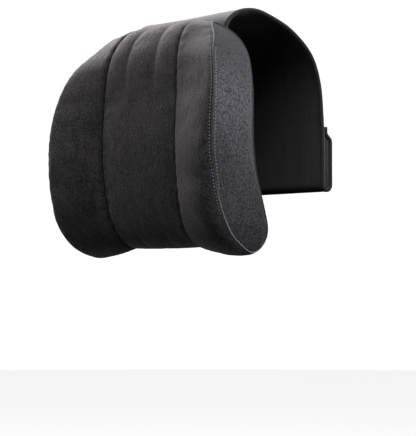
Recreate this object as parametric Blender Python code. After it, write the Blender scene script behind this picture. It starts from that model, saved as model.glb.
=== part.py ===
"""Car neck pillow with a hanging flap. Metres, +Z up, the occupant's side faces -Y.

The origin is the middle of the flat rear face, which rests against the pillow's support.
"""

import bpy
import numpy as np

# Overall form of the pillow; every level and draft below is a share of these
PILLOW_HALF_WIDTH = 0.134
PILLOW_HEIGHT = 0.220
PILLOW_DEPTH = 0.068
SEAM_HALF_WIDTH = 0.060

# Sections as (y, z), drawn on a sheet 68 deep and 220 high: first at the two long seams, from the top rear
# edge down the front, then up the flat back
OUTLINE_SHEET = (68, 220)
SEAM_FRONT = [
    (-0.8, 98), (-6.5, 109.5), (-21, 106), (-33, 93.5), (-41, 71.5), (-44.5, 33), (-46.5, -7),
    (-44, -42), (-40, -69), (-32.5, -91), (-20.5, -105), (-7, -109),
]
SEAM_BACK = [(0, -98), (0, -84), (0, -66), (0, -37), (0, 3), (0, 43), (0, 72), (0, 86)]

# Section at the end panels, point for point like the one above
END_FRONT = [
    (-2, 95), (-10, 104), (-18, 104), (-28.5, 91), (-45.5, 67), (-56.5, 25), (-59.5, -15),
    (-55.5, -46), (-48.5, -74.5), (-35, -97), (-19, -109.5), (-5, -115.5),
]
END_BACK = [(5, -109), (8.5, -95), (2, -72), (-7.5, -37), (-10.5, 3), (-7, 45), (-1, 73), (0, 85)]

# How far the ends and the long seams draw in past a level above or below the middle: level and run as shares
# of the height, draft as a share of the half width, and the power of the curve
END_TOP = {"level": -0.082, "run": 0.527, "draft": 0.336, "power": 3.35}
END_LOW = {"level": 0.323, "run": 0.205, "draft": 0.060, "power": 2.0}
SEAM_TOP = {"level": 0.0, "run": 0.477, "draft": 0.183, "power": 3.3}
SEAM_LOW = {"level": 0.0, "run": 0.477, "draft": 0.075, "power": 3.0}

# Stuffed form between the seams
WING_BULGE = 0.0140
WING_BULGE_SKEW = 1.8
WING_BULGE_POWER = 1.8
WING_CREST = 0.70
WING_EDGE_POWER = 0.37
CENTRE_CROWN = 0.0015
RIB_VALLEY = 0.41
RIB_HEIGHT_TOP = 0.0030
RIB_HEIGHT_LOW = 0.0002
RIB_FADE_START = 0.085
RIB_FADE_END = 0.030
END_DOME = 0.004

# Cover, foam and trim
COVER = 0.0020
GAP = 0.0003
PIPING_RADIUS = 0.0010
PIPING_SIDES = 6
PANEL_SETBACK = PIPING_RADIUS + 2 * GAP

# Hanging flap, whose side view is drawn on a sheet 127 deep and 121.5 high, and the weight in its hem
FLAP_HALF_WIDTH = 0.078
FLAP_THICKNESS = 0.0034
FLAP_REACH = 0.127
FLAP_CROWN = 0.1215
FLAP_SHEET = (127, 121.5)
FLAP_PATH = [
    (2, 74), (2, 97), (5.5, 108.5), (18, 118), (36, 121.5), (54, 118.5),
    (85, 106), (110, 84), (122, 55), (126, 20), (127, -20), (127, -46),
]
WEIGHT_SIZE = (0.130, 0.0060, 0.044)
HEM_CLOSING = 0.008
HEM_LIP = 0.006

# Mesh fineness
FRONT_STEPS = 30
BACK_STEPS = 12
CENTRE_COLUMNS = [0, 0.13, 0.26, RIB_VALLEY, 0.52, 0.69, 0.86, 1]
WING_COLUMNS = [0, 0.14, 0.30, 0.46, 0.61, 0.74, 0.85, 0.93, 0.98, 1]
END_RINGS = [1, 0.86, 0.62, 0.33]
FLAP_STEPS = 44
HEM_STEPS = 8


def clear_scene():
    for found in list(bpy.data.objects):
        bpy.data.objects.remove(found, do_unlink=True)


def closed_curve(points, t):
    """Catmull-Rom curve through a closed ring of points; t counts points from the first one."""
    p = np.asarray(points, float)
    i = np.floor(t).astype(int)
    f = (t - i)[:, None]
    a, b, c, d = (p[(i + k) % len(p)] for k in (-1, 0, 1, 2))
    return 0.5 * (2 * b + (c - a) * f + (2 * a - 5 * b + 4 * c - d) * f**2 + (3 * b - a - 3 * c + d) * f**3)


def open_curve(points, t):
    """Catmull-Rom curve through a row of points; t runs from 0 to 1."""
    p = np.asarray(points, float)
    p = np.vstack([2 * p[0] - p[1], p, 2 * p[-1] - p[-2]])
    x = np.clip(t * (len(p) - 3), 0, len(p) - 3 - 1e-9)
    i = x.astype(int)
    f = (x - i)[:, None]
    a, b, c, d = p[i], p[i + 1], p[i + 2], p[i + 3]
    return 0.5 * (2 * b + (c - a) * f + (2 * a - 5 * b + 4 * c - d) * f**2 + (3 * b - a - 3 * c + d) * f**3)


def outline(points, t):
    """A section's smooth outline in metres, at the pillow's depth and height."""
    return closed_curve(points, t) / OUTLINE_SHEET * [PILLOW_DEPTH, PILLOW_HEIGHT]


def drawn_in(z, rule):
    """Share of the half width lost at height z: draft * (height past the level / run) ^ power."""
    past = np.clip((z / PILLOW_HEIGHT - rule["level"]) / rule["run"], 0, None)
    return rule["draft"] * past ** rule["power"]


def seam_x(z):
    """Distance of the long seams from the middle; they draw together a little at top and bottom."""
    return SEAM_HALF_WIDTH * (1 - drawn_in(z, SEAM_TOP) - drawn_in(-z, SEAM_LOW))


def end_x(z):
    """Distance of the end seams from the middle; the top corners are rounded off far more than the low ones."""
    return PILLOW_HALF_WIDTH * (1 - drawn_in(z, END_TOP) - drawn_in(-z, END_LOW))


def ease(x):
    """Soft step from 0 to 1."""
    return x * x * (3 - 2 * x)


def rib_height(a):
    """Three puffed ribs between the seams, as a share of the full height."""
    mid = np.where(a < RIB_VALLEY, a / RIB_VALLEY, (a - (1 + RIB_VALLEY) / 2) / ((1 - RIB_VALLEY) / 2))
    return np.clip(1 - mid * mid, 0, None)


def outline_normals(yz):
    step = np.roll(yz, -1, 0) - np.roll(yz, 1, 0)
    n = np.stack([step[:, 1], -step[:, 0]], 1)
    return n / np.linalg.norm(n, axis=1)[:, None]


def ring_positions():
    """Positions round the section: the front from its top rear edge down, then the back up again."""
    front = np.linspace(0, len(SEAM_FRONT), FRONT_STEPS + 1)
    back = np.linspace(len(SEAM_FRONT), len(SEAM_FRONT) + len(SEAM_BACK), BACK_STEPS + 1)
    return np.concatenate([front, back[1:-1]])


def body_surface(a, setback):
    """Outer surface for columns a (0..1 centre, 1..2 wing) on the +X half, as an array ring x column x 3.

    point = section + normal * stuffing, where the section blends from the seam's outline to the end's.
    The last column stops about one setback short of the end outline.
    """
    t = ring_positions()
    a = np.asarray(a, float)[None, :]
    seam = outline(SEAM_FRONT + SEAM_BACK, t)
    end = outline(END_FRONT + END_BACK, t)
    near = seam_x(seam[:, 1])[:, None]
    far = end_x(end[:, 1])[:, None]
    share = np.clip(t / len(SEAM_FRONT), 0, 1)
    on_front = np.sin(np.pi * share)
    swell = np.clip(np.sin(np.pi * share**WING_BULGE_SKEW), 0, 1)[:, None]
    bulge = WING_BULGE * swell**WING_BULGE_POWER
    if setback:
        steep = (bulge / setback) ** (1 / WING_EDGE_POWER) / (1 - WING_CREST)
        stop = 1 - 1 / ((far - near) / setback + steep)
    else:
        stop = 1
    w = np.clip(a - 1, 0, 1) * stop
    in_front = (t < len(SEAM_FRONT))[:, None]
    blend = np.where(in_front, w, ease(w))[..., None]
    section = seam[:, None] * (1 - blend) + end[:, None] * blend
    normal = outline_normals(seam)[:, None] * (1 - w[..., None]) + outline_normals(end)[:, None] * w[..., None]
    rise = WING_EDGE_POWER * WING_CREST / (1 - WING_CREST)
    crest = (w / WING_CREST) ** rise * ((1 - w) / (1 - WING_CREST)) ** WING_EDGE_POWER
    wing = bulge * crest
    fade = np.clip((seam[:, 1] - RIB_FADE_END) / (RIB_FADE_START - RIB_FADE_END), 0, 1)
    height = RIB_HEIGHT_LOW + (RIB_HEIGHT_TOP - RIB_HEIGHT_LOW) * ease(fade)
    c = np.clip(a, 0, 1)
    centre = np.clip(on_front, 0, 1)[:, None] ** 0.5 * (CENTRE_CROWN * (1 - c * c) + rib_height(c) * height[:, None])
    section = section + normal * (wing + centre)[..., None]
    x = np.where(a < 1, a * near, near + (far - near) * w)
    return np.concatenate([x[..., None], section], 2)


def surface_normals(grid, closed):
    """Outward unit normals of a grid whose rows run round the section and whose columns run along +X."""
    if closed:
        down = np.roll(grid, -1, 0) - np.roll(grid, 1, 0)
    else:
        down = np.gradient(grid, axis=0)
    across = np.gradient(grid, axis=1)
    n = np.cross(down, across)
    return n / np.linalg.norm(n, axis=2)[..., None]


def inward_steps(grid):
    """Vectors that lead one unit in from the whole closed surface; at the two ends they are mitred with the end."""
    step = surface_normals(grid, True)
    for column, side in ((0, -1), (-1, 1)):
        n = step[:, column]
        step[:, column] = (n + [side, 0, 0]) / (1 + side * n[:, :1])
    return -step


def whole_columns(wing_columns):
    """Columns of the whole width, from the -X end to the +X end, as signed values."""
    half = CENTRE_COLUMNS[:-1] + [1 + w for w in wing_columns]
    return [-a for a in half[:0:-1]] + half


def signed_surface(columns):
    columns = np.asarray(columns, float)
    grid = body_surface(np.abs(columns), PANEL_SETBACK)
    grid[..., 0] *= np.sign(columns)[None]
    return grid


def grid_faces(rows, signs, start, closed_rows):
    """Triangles of a grid; their diagonals mirror each other left and right of the middle."""
    columns = len(signs)
    faces = []
    for i in range(rows if closed_rows else rows - 1):
        below = start + (i + 1) % rows * columns
        here = start + i * columns
        for j in range(columns - 1):
            a, b, c, d = here + j, here + j + 1, below + j + 1, below + j
            if signs[j] + signs[j + 1] < 0:
                faces += [[a, b, c], [a, c, d]]
            else:
                faces += [[a, b, d], [b, c, d]]
    return faces


def material(name, colour, roughness, metallic=0.0):
    made = bpy.data.materials.new(name)
    made.use_nodes = True
    shader = made.node_tree.nodes["Principled BSDF"]
    shader.inputs["Base Color"].default_value = (*colour, 1)
    shader.inputs["Roughness"].default_value = roughness
    shader.inputs["Metallic"].default_value = metallic
    return made


def suede(piece):
    return material(piece + "_suede", (0.022, 0.021, 0.022), 0.9)


def end_suede(piece):
    return material(piece + "_suede", (0.045, 0.045, 0.050), 0.9)


def lining(piece):
    return material(piece + "_lining", (0.020, 0.020, 0.021), 0.85)


def foam(piece):
    return material(piece + "_foam", (0.35, 0.34, 0.33), 0.95)


def piping_cord(piece):
    return material(piece + "_cord", (0.11, 0.11, 0.12), 0.7)


def steel(piece):
    return material(piece + "_steel", (0.55, 0.55, 0.56), 0.4, 1.0)


def add_object(name, vertices, faces, finish):
    """One closed body; its faces are turned outward by the sign of its volume."""
    v = np.asarray(vertices, float).reshape(-1, 3)
    volume = 0.0
    for face in faces:
        for k in range(1, len(face) - 1):
            volume += np.dot(v[face[0]], np.cross(v[face[k]], v[face[k + 1]]))
    if volume < 0:
        faces = [face[::-1] for face in faces]
    mesh = bpy.data.meshes.new(name)
    mesh.from_pydata([tuple(p) for p in v], [], faces)
    mesh.validate()
    for face in mesh.polygons:
        face.use_smooth = True
    mesh.materials.append(finish(name))
    made = bpy.data.objects.new(name, mesh)
    bpy.context.scene.collection.objects.link(made)
    return made


def cloth_panel(name, outer, inward, signs, finish):
    """A cover panel: the outer grid, the same grid one thickness in, and the four edges between them."""
    rows, columns = outer.shape[:2]
    inner = outer + inward * COVER
    count = rows * columns
    faces = grid_faces(rows, signs, 0, False)
    faces += [face[::-1] for face in grid_faces(rows, signs, count, False)]
    edge = [i * columns for i in range(rows)]
    edge += [(rows - 1) * columns + j for j in range(1, columns)]
    edge += [i * columns + columns - 1 for i in range(rows - 2, -1, -1)]
    edge += list(range(columns - 2, 0, -1))
    for k, here in enumerate(edge):
        after = edge[(k + 1) % len(edge)]
        faces += [[here, after, here + count], [after, after + count, here + count]]
    return add_object(name, np.concatenate([outer.reshape(-1, 3), inner.reshape(-1, 3)]), faces, finish)


def draw_in(grid, axis):
    """Moves the first and last row (axis 0) or column (axis 1) in along the surface by half a gap."""
    moved = np.swapaxes(grid, 0, axis).copy()
    for edge, inside in ((0, 1), (-1, -2)):
        step = moved[inside] - moved[edge]
        moved[edge] += step / np.linalg.norm(step, axis=-1)[..., None] * GAP / 2
    return np.swapaxes(moved, 0, axis)


def cover_panels():
    columns = whole_columns(WING_COLUMNS)
    whole = signed_surface(columns)
    inward = inward_steps(whole)
    rings = len(ring_positions())
    front_rows = list(range(FRONT_STEPS + 1))
    back_rows = list(range(FRONT_STEPS, rings)) + [0]
    left_seam = columns.index(-1)
    right_seam = columns.index(1)
    last = len(columns)
    pieces = (
        ("left_wing_panel", front_rows, range(0, left_seam + 1), suede),
        ("centre_panel", front_rows, range(left_seam, right_seam + 1), suede),
        ("right_wing_panel", front_rows, range(right_seam, last), suede),
        ("back_panel", back_rows, range(0, last), lining),
    )
    for name, rows, chosen, finish in pieces:
        pick = np.ix_(rows, list(chosen))
        outer = draw_in(draw_in(whole[pick], 0), 1)
        cloth_panel(name, outer, inward[pick], [columns[j] for j in chosen], finish)


def end_outline():
    return body_surface([2], 0)[:, 0]


def end_face(inset, depth):
    """Rings of points over an end, from its inset outline in to its middle, and the middle point.

    x = end_x(z) + dome * (1 - r^2) - depth, with y and z shrinking towards the middle point by r.
    """
    yz = end_outline()[:, 1:]
    yz = yz - outline_normals(yz) * inset
    middle = (yz.min(0) + yz.max(0)) / 2
    rings = []
    for r in END_RINGS:
        p = middle + (yz - middle) * r
        x = end_x(p[:, 1]) + END_DOME * (1 - r * r) - depth
        rings.append(np.concatenate([x[:, None], p], 1))
    centre = np.array([end_x(middle[1]) + END_DOME - depth, *middle])
    return np.array(rings), centre


def disc_faces(rings, count, start, centre):
    faces = []
    for k in range(rings - 1):
        a, b = start + k * count, start + (k + 1) * count
        for i in range(count):
            j = (i + 1) % count
            faces += [[a + i, a + j, b + i], [a + j, b + j, b + i]]
    low = start + (rings - 1) * count
    for i in range(count):
        faces.append([low + i, low + (i + 1) % count, centre])
    return faces


def end_panel(name, side):
    """Leaf-shaped panel that closes one end of the cover, its rim mitred with the panels round it."""
    outer, outer_middle = end_face(PANEL_SETBACK, 0)
    inner, inner_middle = end_face(PANEL_SETBACK + COVER, COVER)
    rings, count = outer.shape[:2]
    total = rings * count
    points = np.concatenate([outer.reshape(-1, 3), outer_middle[None], inner.reshape(-1, 3), inner_middle[None]])
    points[:, 0] *= side
    faces = disc_faces(rings, count, 0, total)
    faces += [face[::-1] for face in disc_faces(rings, count, total + 1, 2 * total + 1)]
    for i in range(count):
        j = (i + 1) % count
        faces += [[j, i, total + 1 + i], [j, total + 1 + i, total + 1 + j]]
    add_object(name, points, faces, end_suede)


def piping(name, side):
    """Thin cord sewn round the end seam, centred on the end outline."""
    path = end_outline()
    ahead = np.roll(path, -1, 0) - np.roll(path, 1, 0)
    ahead /= np.linalg.norm(ahead, axis=1)[:, None]
    out = np.cross(ahead, np.array([1.0, 0, 0]))
    out /= np.linalg.norm(out, axis=1)[:, None]
    up = np.cross(out, ahead)
    angle = np.arange(PIPING_SIDES) / PIPING_SIDES * 2 * np.pi
    points = path[:, None] + PIPING_RADIUS * (
        np.cos(angle)[None, :, None] * out[:, None] + np.sin(angle)[None, :, None] * up[:, None]
    )
    points[..., 0] *= side
    faces = []
    for i in range(len(path)):
        nxt = (i + 1) % len(path)
        for k in range(PIPING_SIDES):
            m = (k + 1) % PIPING_SIDES
            faces.append([i * PIPING_SIDES + k, i * PIPING_SIDES + m, nxt * PIPING_SIDES + m, nxt * PIPING_SIDES + k])
    add_object(name, points, faces, piping_cord)


def foam_core():
    """Foam that fills the cover, one gap inside its panels all over."""
    columns = whole_columns(WING_COLUMNS)
    whole = signed_surface(columns)
    core = whole + inward_steps(whole) * (COVER + GAP)
    rings, count = core.shape[:2]
    faces = grid_faces(rings, columns, 0, True)
    points = [core.reshape(-1, 3)]
    size = rings * count
    cap, middle = end_face(PANEL_SETBACK + COVER, COVER + GAP)
    for column, side in ((0, -1), (count - 1, 1)):
        points.append(np.concatenate([cap.reshape(-1, 3), middle[None]]) * [side, 1, 1])
        centre = size + cap.shape[0] * rings
        closing = disc_faces(cap.shape[0], rings, size, centre)
        for i in range(rings):
            j = (i + 1) % rings
            a, b = i * count + column, j * count + column
            closing += [[a, b, size + i], [b, size + j, size + i]]
        faces += closing if side < 0 else [face[::-1] for face in closing]
        size = centre + 1
    add_object("foam_core", np.concatenate(points), faces, foam)


def flap_path():
    """Side view of the flap: up from the pillow's back, over the support, down behind it and round its hem."""
    run = open_curve(FLAP_PATH, np.linspace(0, 1, FLAP_STEPS + 1)) / FLAP_SHEET * [FLAP_REACH, FLAP_CROWN]
    turn = WEIGHT_SIZE[1] / 2 + GAP + FLAP_THICKNESS / 2
    angle = np.linspace(0, np.pi, HEM_STEPS + 1)[1:]
    bend = run[-1] + np.stack([turn * (1 - np.cos(angle)), -turn * np.sin(angle)], 1)
    closed_in = 2 * turn - FLAP_THICKNESS - GAP
    top = WEIGHT_SIZE[2] + GAP
    rise = [[0, top / 2], [0, top], [-closed_in, top + HEM_CLOSING], [-closed_in, top + HEM_CLOSING + HEM_LIP]]
    return np.concatenate([run, bend, bend[-1] + np.array(rise)])


def hanging_flap():
    path = flap_path()
    step = np.gradient(path, axis=0)
    step /= np.linalg.norm(step, axis=1)[:, None]
    side = np.stack([step[:, 1], -step[:, 0]], 1) * FLAP_THICKNESS / 2
    ring = np.concatenate([path + side, (path - side)[::-1]])
    count = len(ring)
    points = []
    for x in (-FLAP_HALF_WIDTH, FLAP_HALF_WIDTH):
        points.append(np.concatenate([np.full((count, 1), x), ring], 1))
    faces = []
    for i in range(count):
        j = (i + 1) % count
        faces.append([i, j, count + j, count + i])
    for i in range(len(path) - 1):
        far = count - 1 - i
        faces.append([i, far, far - 1, i + 1])
        faces.append([count + i, count + i + 1, count + far - 1, count + far])
    add_object("hanging_flap", np.concatenate(points), faces, suede)


def flap_weight():
    """Flat bar in the hem that keeps the flap down behind the support."""
    low = flap_path()[FLAP_STEPS]
    y = low[0] + FLAP_THICKNESS / 2 + GAP + WEIGHT_SIZE[1] / 2
    z = low[1] + WEIGHT_SIZE[2] / 2
    points = []
    half = [size / 2 for size in WEIGHT_SIZE]
    for up in (-1, 1):
        for right, rear in ((-1, -1), (1, -1), (1, 1), (-1, 1)):
            points.append((right * half[0], y + rear * half[1], z + up * half[2]))
    faces = [[0, 3, 2, 1], [4, 5, 6, 7], [0, 1, 5, 4], [1, 2, 6, 5], [2, 3, 7, 6], [3, 0, 4, 7]]
    made = add_object("flap_weight", points, faces, steel)
    for face in made.data.polygons:
        face.use_smooth = False


clear_scene()
cover_panels()
end_panel("left_end_panel", -1)
end_panel("right_end_panel", 1)
piping("left_piping", -1)
piping("right_piping", 1)
foam_core()
hanging_flap()
flap_weight()
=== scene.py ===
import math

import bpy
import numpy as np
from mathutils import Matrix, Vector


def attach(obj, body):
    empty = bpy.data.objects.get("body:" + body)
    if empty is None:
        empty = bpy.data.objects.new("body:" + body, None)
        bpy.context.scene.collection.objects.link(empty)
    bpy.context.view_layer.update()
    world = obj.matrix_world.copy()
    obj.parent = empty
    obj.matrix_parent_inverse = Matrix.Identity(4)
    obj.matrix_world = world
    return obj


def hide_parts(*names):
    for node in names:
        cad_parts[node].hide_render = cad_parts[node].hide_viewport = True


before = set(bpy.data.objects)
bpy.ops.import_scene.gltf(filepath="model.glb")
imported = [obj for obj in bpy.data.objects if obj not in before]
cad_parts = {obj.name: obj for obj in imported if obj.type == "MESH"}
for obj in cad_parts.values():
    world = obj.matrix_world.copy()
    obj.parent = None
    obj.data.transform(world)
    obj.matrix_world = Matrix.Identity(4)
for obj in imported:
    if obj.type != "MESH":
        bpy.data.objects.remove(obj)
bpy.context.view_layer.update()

# %% [markdown]
# # A suede neck pillow
# The pillow hangs by a broad flap that goes over its support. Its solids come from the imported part, and this
# file dresses them: sewn panels with rolled edges, corded seams, stitches, nap and light. Metres, +Z up, and
# the neck's side faces -Y. The box of the bare solids is kept, so the dressed pillow can be held to it.

MM = 0.001


def link(name, data):
    """A new object for a mesh, a lamp or a camera, put into the scene."""
    made = bpy.data.objects.new(name, data)
    bpy.context.scene.collection.objects.link(made)
    return made


print("solids", sorted(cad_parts))

# %% [markdown]
# ## The camera first
# The two long seams run to one vanishing point, which gives the viewing angle. The camera stands 53 degrees
# round to the right and a little below the pillow's lower edge, 1.85 m away, with a long lens. It is aimed
# with a small turn and tilt, which keeps the lens free of shift in the other views.

# %% Camera
VIEW_ANGLE = math.radians(53)
VIEW_DISTANCE = 1.85
VIEW_DROP = 0.142
FOCAL_PIXELS = 1870
FRAME_PIXELS = (416, 436)
AXIS_COLUMN = 175.6
HORIZON_ROW = 281
SENSOR_WIDTH = 36

ahead = np.array([-math.sin(VIEW_ANGLE), math.cos(VIEW_ANGLE), 0])
to_right = np.array([math.cos(VIEW_ANGLE), math.sin(VIEW_ANGLE), 0])
aim = ahead + to_right * (FRAME_PIXELS[0] / 2 - AXIS_COLUMN) / FOCAL_PIXELS
aim[2] = (HORIZON_ROW - FRAME_PIXELS[1] / 2) / FOCAL_PIXELS
camera = link("camera", bpy.data.cameras.new("camera"))
camera.location = -ahead * VIEW_DISTANCE + np.array([0, 0, -VIEW_DROP])
camera.rotation_euler = Vector(aim).to_track_quat("-Z", "Y").to_euler()
camera.data.lens = FOCAL_PIXELS * SENSOR_WIDTH / max(FRAME_PIXELS)
camera.data.clip_end = 50
bpy.context.scene.camera = camera
print("lens", round(camera.data.lens, 1), "mm")

# %% [markdown]
# ## Room and light
# The pillow was lit as in a studio: soft light from above greys the tops, two lamps on the right show the
# end panel, and the underside stays black. One big lamp is simpler, but black suede shows every lamp by its
# bloom. So a picture was made with each lamp alone, and the powers were set from those pictures.
# A pale floor lies below and a white shell stands round. The shell is seen, and it lights nothing.

# %% Room
FLOOR_LEVEL = -0.6
FLOOR_RADIUS = 7.9
WALL_RADIUS = 8.0
WALL_RISE = (-3.0, 6.0)
WALL_SIDES = 48


def plain_mesh(name, points, faces):
    """A mesh from an array of points and lists of their numbers."""
    mesh = bpy.data.meshes.new(name)
    mesh.from_pydata(np.asarray(points, float).reshape(-1, 3).tolist(), [], faces)
    mesh.update()
    return mesh


def circle(radius, sides):
    """Points at equal angles: radius * (cos, sin)."""
    angle = np.arange(sides) / sides * 2 * np.pi
    return radius * np.stack([np.cos(angle), np.sin(angle)], -1)


def disc(name, radius, level, sides=64):
    """A flat disc with one face."""
    points = np.column_stack([circle(radius, sides), np.full(sides, level)])
    return link(name, plain_mesh(name, points, [list(range(sides))]))


def round_wall(name, radius, levels, sides):
    """A tube without ends: one circle at each level, joined by quads."""
    points = np.concatenate([np.column_stack([circle(radius, sides), np.full(sides, z)]) for z in levels])
    here = np.arange(sides)
    after = np.roll(here, -1)
    quads = np.stack([here, after, sides + after, sides + here], -1)
    return link(name, plain_mesh(name, points, quads.tolist()))


def flat_material(name, colour, glow):
    made = bpy.data.materials.new(name)
    made.use_nodes = True
    shader = made.node_tree.nodes["Principled BSDF"]
    shader.inputs["Base Color"].default_value = (*colour, 1)
    shader.inputs["Roughness"].default_value = 0.9
    shader.inputs["Emission Color"].default_value = (1, 1, 1, 1)
    shader.inputs["Emission Strength"].default_value = glow
    return made


floor = disc("floor", FLOOR_RADIUS, FLOOR_LEVEL)
floor.data.materials.append(flat_material("pale_floor", (0.82, 0.82, 0.81), 0.85))
shell = round_wall("white_shell", WALL_RADIUS, WALL_RISE, WALL_SIDES)
shell.data.materials.append(flat_material("white_wall", (1, 1, 1), 1.0))
for unlit in (shell, floor):
    unlit.visible_diffuse = False
    unlit.visible_glossy = False
    unlit.visible_shadow = False
print("room", floor.name, shell.name)


# %% Lamps
def soft_light(name, place, width, height, power):
    """A rectangular area lamp that faces the origin."""
    lamp = bpy.data.lights.new(name, "AREA")
    lamp.shape = "RECTANGLE"
    lamp.size, lamp.size_y, lamp.energy = width, height, power
    made = link(name, lamp)
    made.location = place
    made.rotation_euler = (-Vector(place)).to_track_quat("-Z", "Y").to_euler()


for name, place, wide, high, power in (
    ("top_left_light", (-1.2, 0.5, 1.0), 1.0, 1.0, 38),
    ("top_right_light", (0.7, 0.0, 1.5), 1.0, 1.0, 26),
    ("top_back_light", (0.2, 0.9, 1.5), 1.0, 1.0, 16),
    ("top_front_light", (-0.2, -1.0, 1.5), 1.0, 1.0, 3),
    ("front_high_light", (1.1, -1.0, 1.2), 1.2, 1.0, 11),
    ("front_light", (0.0, -1.9, 0.1), 1.0, 1.0, 7),
    ("right_high_light", (1.5, 0.0, 1.0), 1.0, 1.0, 18),
    ("right_light", (1.7, 0.4, 0.2), 1.0, 1.0, 8),
    ("back_light", (-0.9, 1.9, 0.5), 1.2, 1.0, 26),
):
    soft_light(name, place, wide, high, power)

# %% Sky
SKY_BELOW, SKY_ABOVE = 0.002, 0.06
world = bpy.data.worlds.new("studio")
world.use_nodes = True
nodes, links = world.node_tree.nodes, world.node_tree.links
way_up = nodes.new("ShaderNodeSeparateXYZ")
links.new(nodes.new("ShaderNodeTexCoord").outputs["Generated"], way_up.inputs[0])
rising = nodes.new("ShaderNodeMapRange")
rising.interpolation_type = "SMOOTHSTEP"
for socket, value in (("From Min", -0.25), ("From Max", 0.8), ("To Min", SKY_BELOW), ("To Max", SKY_ABOVE)):
    rising.inputs[socket].default_value = value
links.new(way_up.outputs["Z"], rising.inputs["Value"])
nodes["Background"].inputs["Color"].default_value = (1, 1, 1, 1)
links.new(rising.outputs[0], nodes["Background"].inputs["Strength"])
bpy.context.scene.world = world
bpy.context.scene.view_settings.view_transform = "Standard"
print("sky strength", SKY_BELOW, "below,", SKY_ABOVE, "above")

# %% [markdown]
# ## The pillow's form as one function
# Foam gives the form and the cover follows it. It could be sculpted from a box, but then each panel, seam
# and stitch would need its own copy of the form. Here it is one function of row and column, so all of them
# are cut from the same surface and fit. A section through the pillow is an outline of a few points joined by
# a smooth curve, one at the long seams and one at the ends. Between them the section is blended, and the
# stuffing lifts it along its normal: a crest on each wing and three ribs in the middle.

# %% Outlines and smooth curves
PILLOW_HALF_WIDTH = 0.134
PILLOW_HEIGHT = 0.220
SEAM_HALF_WIDTH = 0.060
END_TOP = {"level": -0.082, "run": 0.527, "draft": 0.336, "power": 3.35}
END_LOW = {"level": 0.323, "run": 0.205, "draft": 0.060, "power": 2.0}
SEAM_TOP = {"level": 0.0, "run": 0.477, "draft": 0.183, "power": 3.3}
SEAM_LOW = {"level": 0.0, "run": 0.477, "draft": 0.075, "power": 3.0}
SEAM_OUTLINE = np.array([
    (-0.8, 98), (-6.5, 109.5), (-21, 106), (-33, 93.5), (-41, 71.5), (-44.5, 33), (-46.5, -7),
    (-44, -42), (-40, -69), (-32.5, -91), (-20.5, -105), (-7, -109),
    (0, -98), (0, -84), (0, -66), (0, -37), (0, 3), (0, 43), (0, 72), (0, 86),
]) * MM
END_OUTLINE = np.array([
    (-2, 95), (-10, 104), (-18, 104), (-28.5, 91), (-45.5, 67), (-56.5, 25), (-59.5, -15),
    (-55.5, -46), (-48.5, -74.5), (-35, -97), (-19, -109.5), (-5, -115.5),
    (5, -109), (8.5, -95), (2, -72), (-7.5, -37), (-10.5, 3), (-7, 45), (-1, 73), (0, 85),
]) * MM
FRONT_SPAN = 12
WHOLE_SPAN = len(SEAM_OUTLINE)


def smooth(a, b, c, d, f):
    """The Catmull-Rom curve from b to c, a cubic in f that also minds the neighbours a and d."""
    return 0.5 * (2 * b + (c - a) * f + (2 * a - 5 * b + 4 * c - d) * f**2 + (3 * b - a - 3 * c + d) * f**3)


def smooth_way(a, b, c, d, f):
    """Travel direction of the same curve, its derivative by f."""
    return 0.5 * ((c - a) + 2 * (2 * a - 5 * b + 4 * c - d) * f + 3 * (3 * b - a - 3 * c + d) * f**2)


def smooth_ring(points, t):
    """Points and travel directions of the curve through a closed ring; t counts its points."""
    i = np.floor(t).astype(int)
    f = (t - i)[:, None]
    around = [points[(i + k) % len(points)] for k in (-1, 0, 1, 2)]
    return smooth(*around, f), smooth_way(*around, f)


def drawn_in(z, rule):
    """Share of the half width lost at height z: draft * (height past the level / run) ^ power."""
    past = np.clip((z / PILLOW_HEIGHT - rule["level"]) / rule["run"], 0, None)
    return rule["draft"] * past ** rule["power"]


def seam_x(z):
    """Distance of the long seams from the middle."""
    return SEAM_HALF_WIDTH * (1 - drawn_in(z, SEAM_TOP) - drawn_in(-z, SEAM_LOW))


def end_x(z):
    """Distance of the end seams from the middle."""
    return PILLOW_HALF_WIDTH * (1 - drawn_in(z, END_TOP) - drawn_in(-z, END_LOW))


print("outlines of", WHOLE_SPAN, "points; half width at the top", round(float(end_x(0.1)), 3), "m")

# %% [markdown]
# The wing's lift rises slowly from the long seam and falls steeply at the end: share^a * (1 - share)^b, with
# b small, so the cloth meets the end seam in a full round edge. Each rib is a flattened arch, 1 - q^2 to a
# power, and its height fades from the top of the pillow to the middle.

# %% Stuffing and the body's surface
WING_BULGE = 0.0140
WING_SWELL = (1.8, 1.8)
WING_CREST = 0.70
WING_EDGE_POWER = 0.37
CENTRE_CROWN = 0.0015
RIB_VALLEY = 0.41
RIB_TOP = 0.0030
RIB_LOW = 0.0002
RIB_FADE = (0.030, 0.085)
END_DOME = 0.004


def ribs(c):
    """Three arches across the middle panel, from -1 at one seam to 1 at the other."""
    a = np.abs(c)
    q = np.where(a < RIB_VALLEY, a / RIB_VALLEY, (a - (1 + RIB_VALLEY) / 2) / ((1 - RIB_VALLEY) / 2))
    return np.clip(1 - q * q, 0, None) ** 0.75


def ease(x):
    """Soft step from 0 to 1: 3 x^2 - 2 x^3."""
    x = np.clip(x, 0, 1)
    return x * x * (3 - 2 * x)


def unit(v):
    return v / np.maximum(np.linalg.norm(v, axis=-1, keepdims=True), 1e-12)


def outward(way):
    """Normals of an outline: its travel directions after a quarter turn."""
    return unit(np.stack([way[:, 1], -way[:, 0]], 1))


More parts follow.
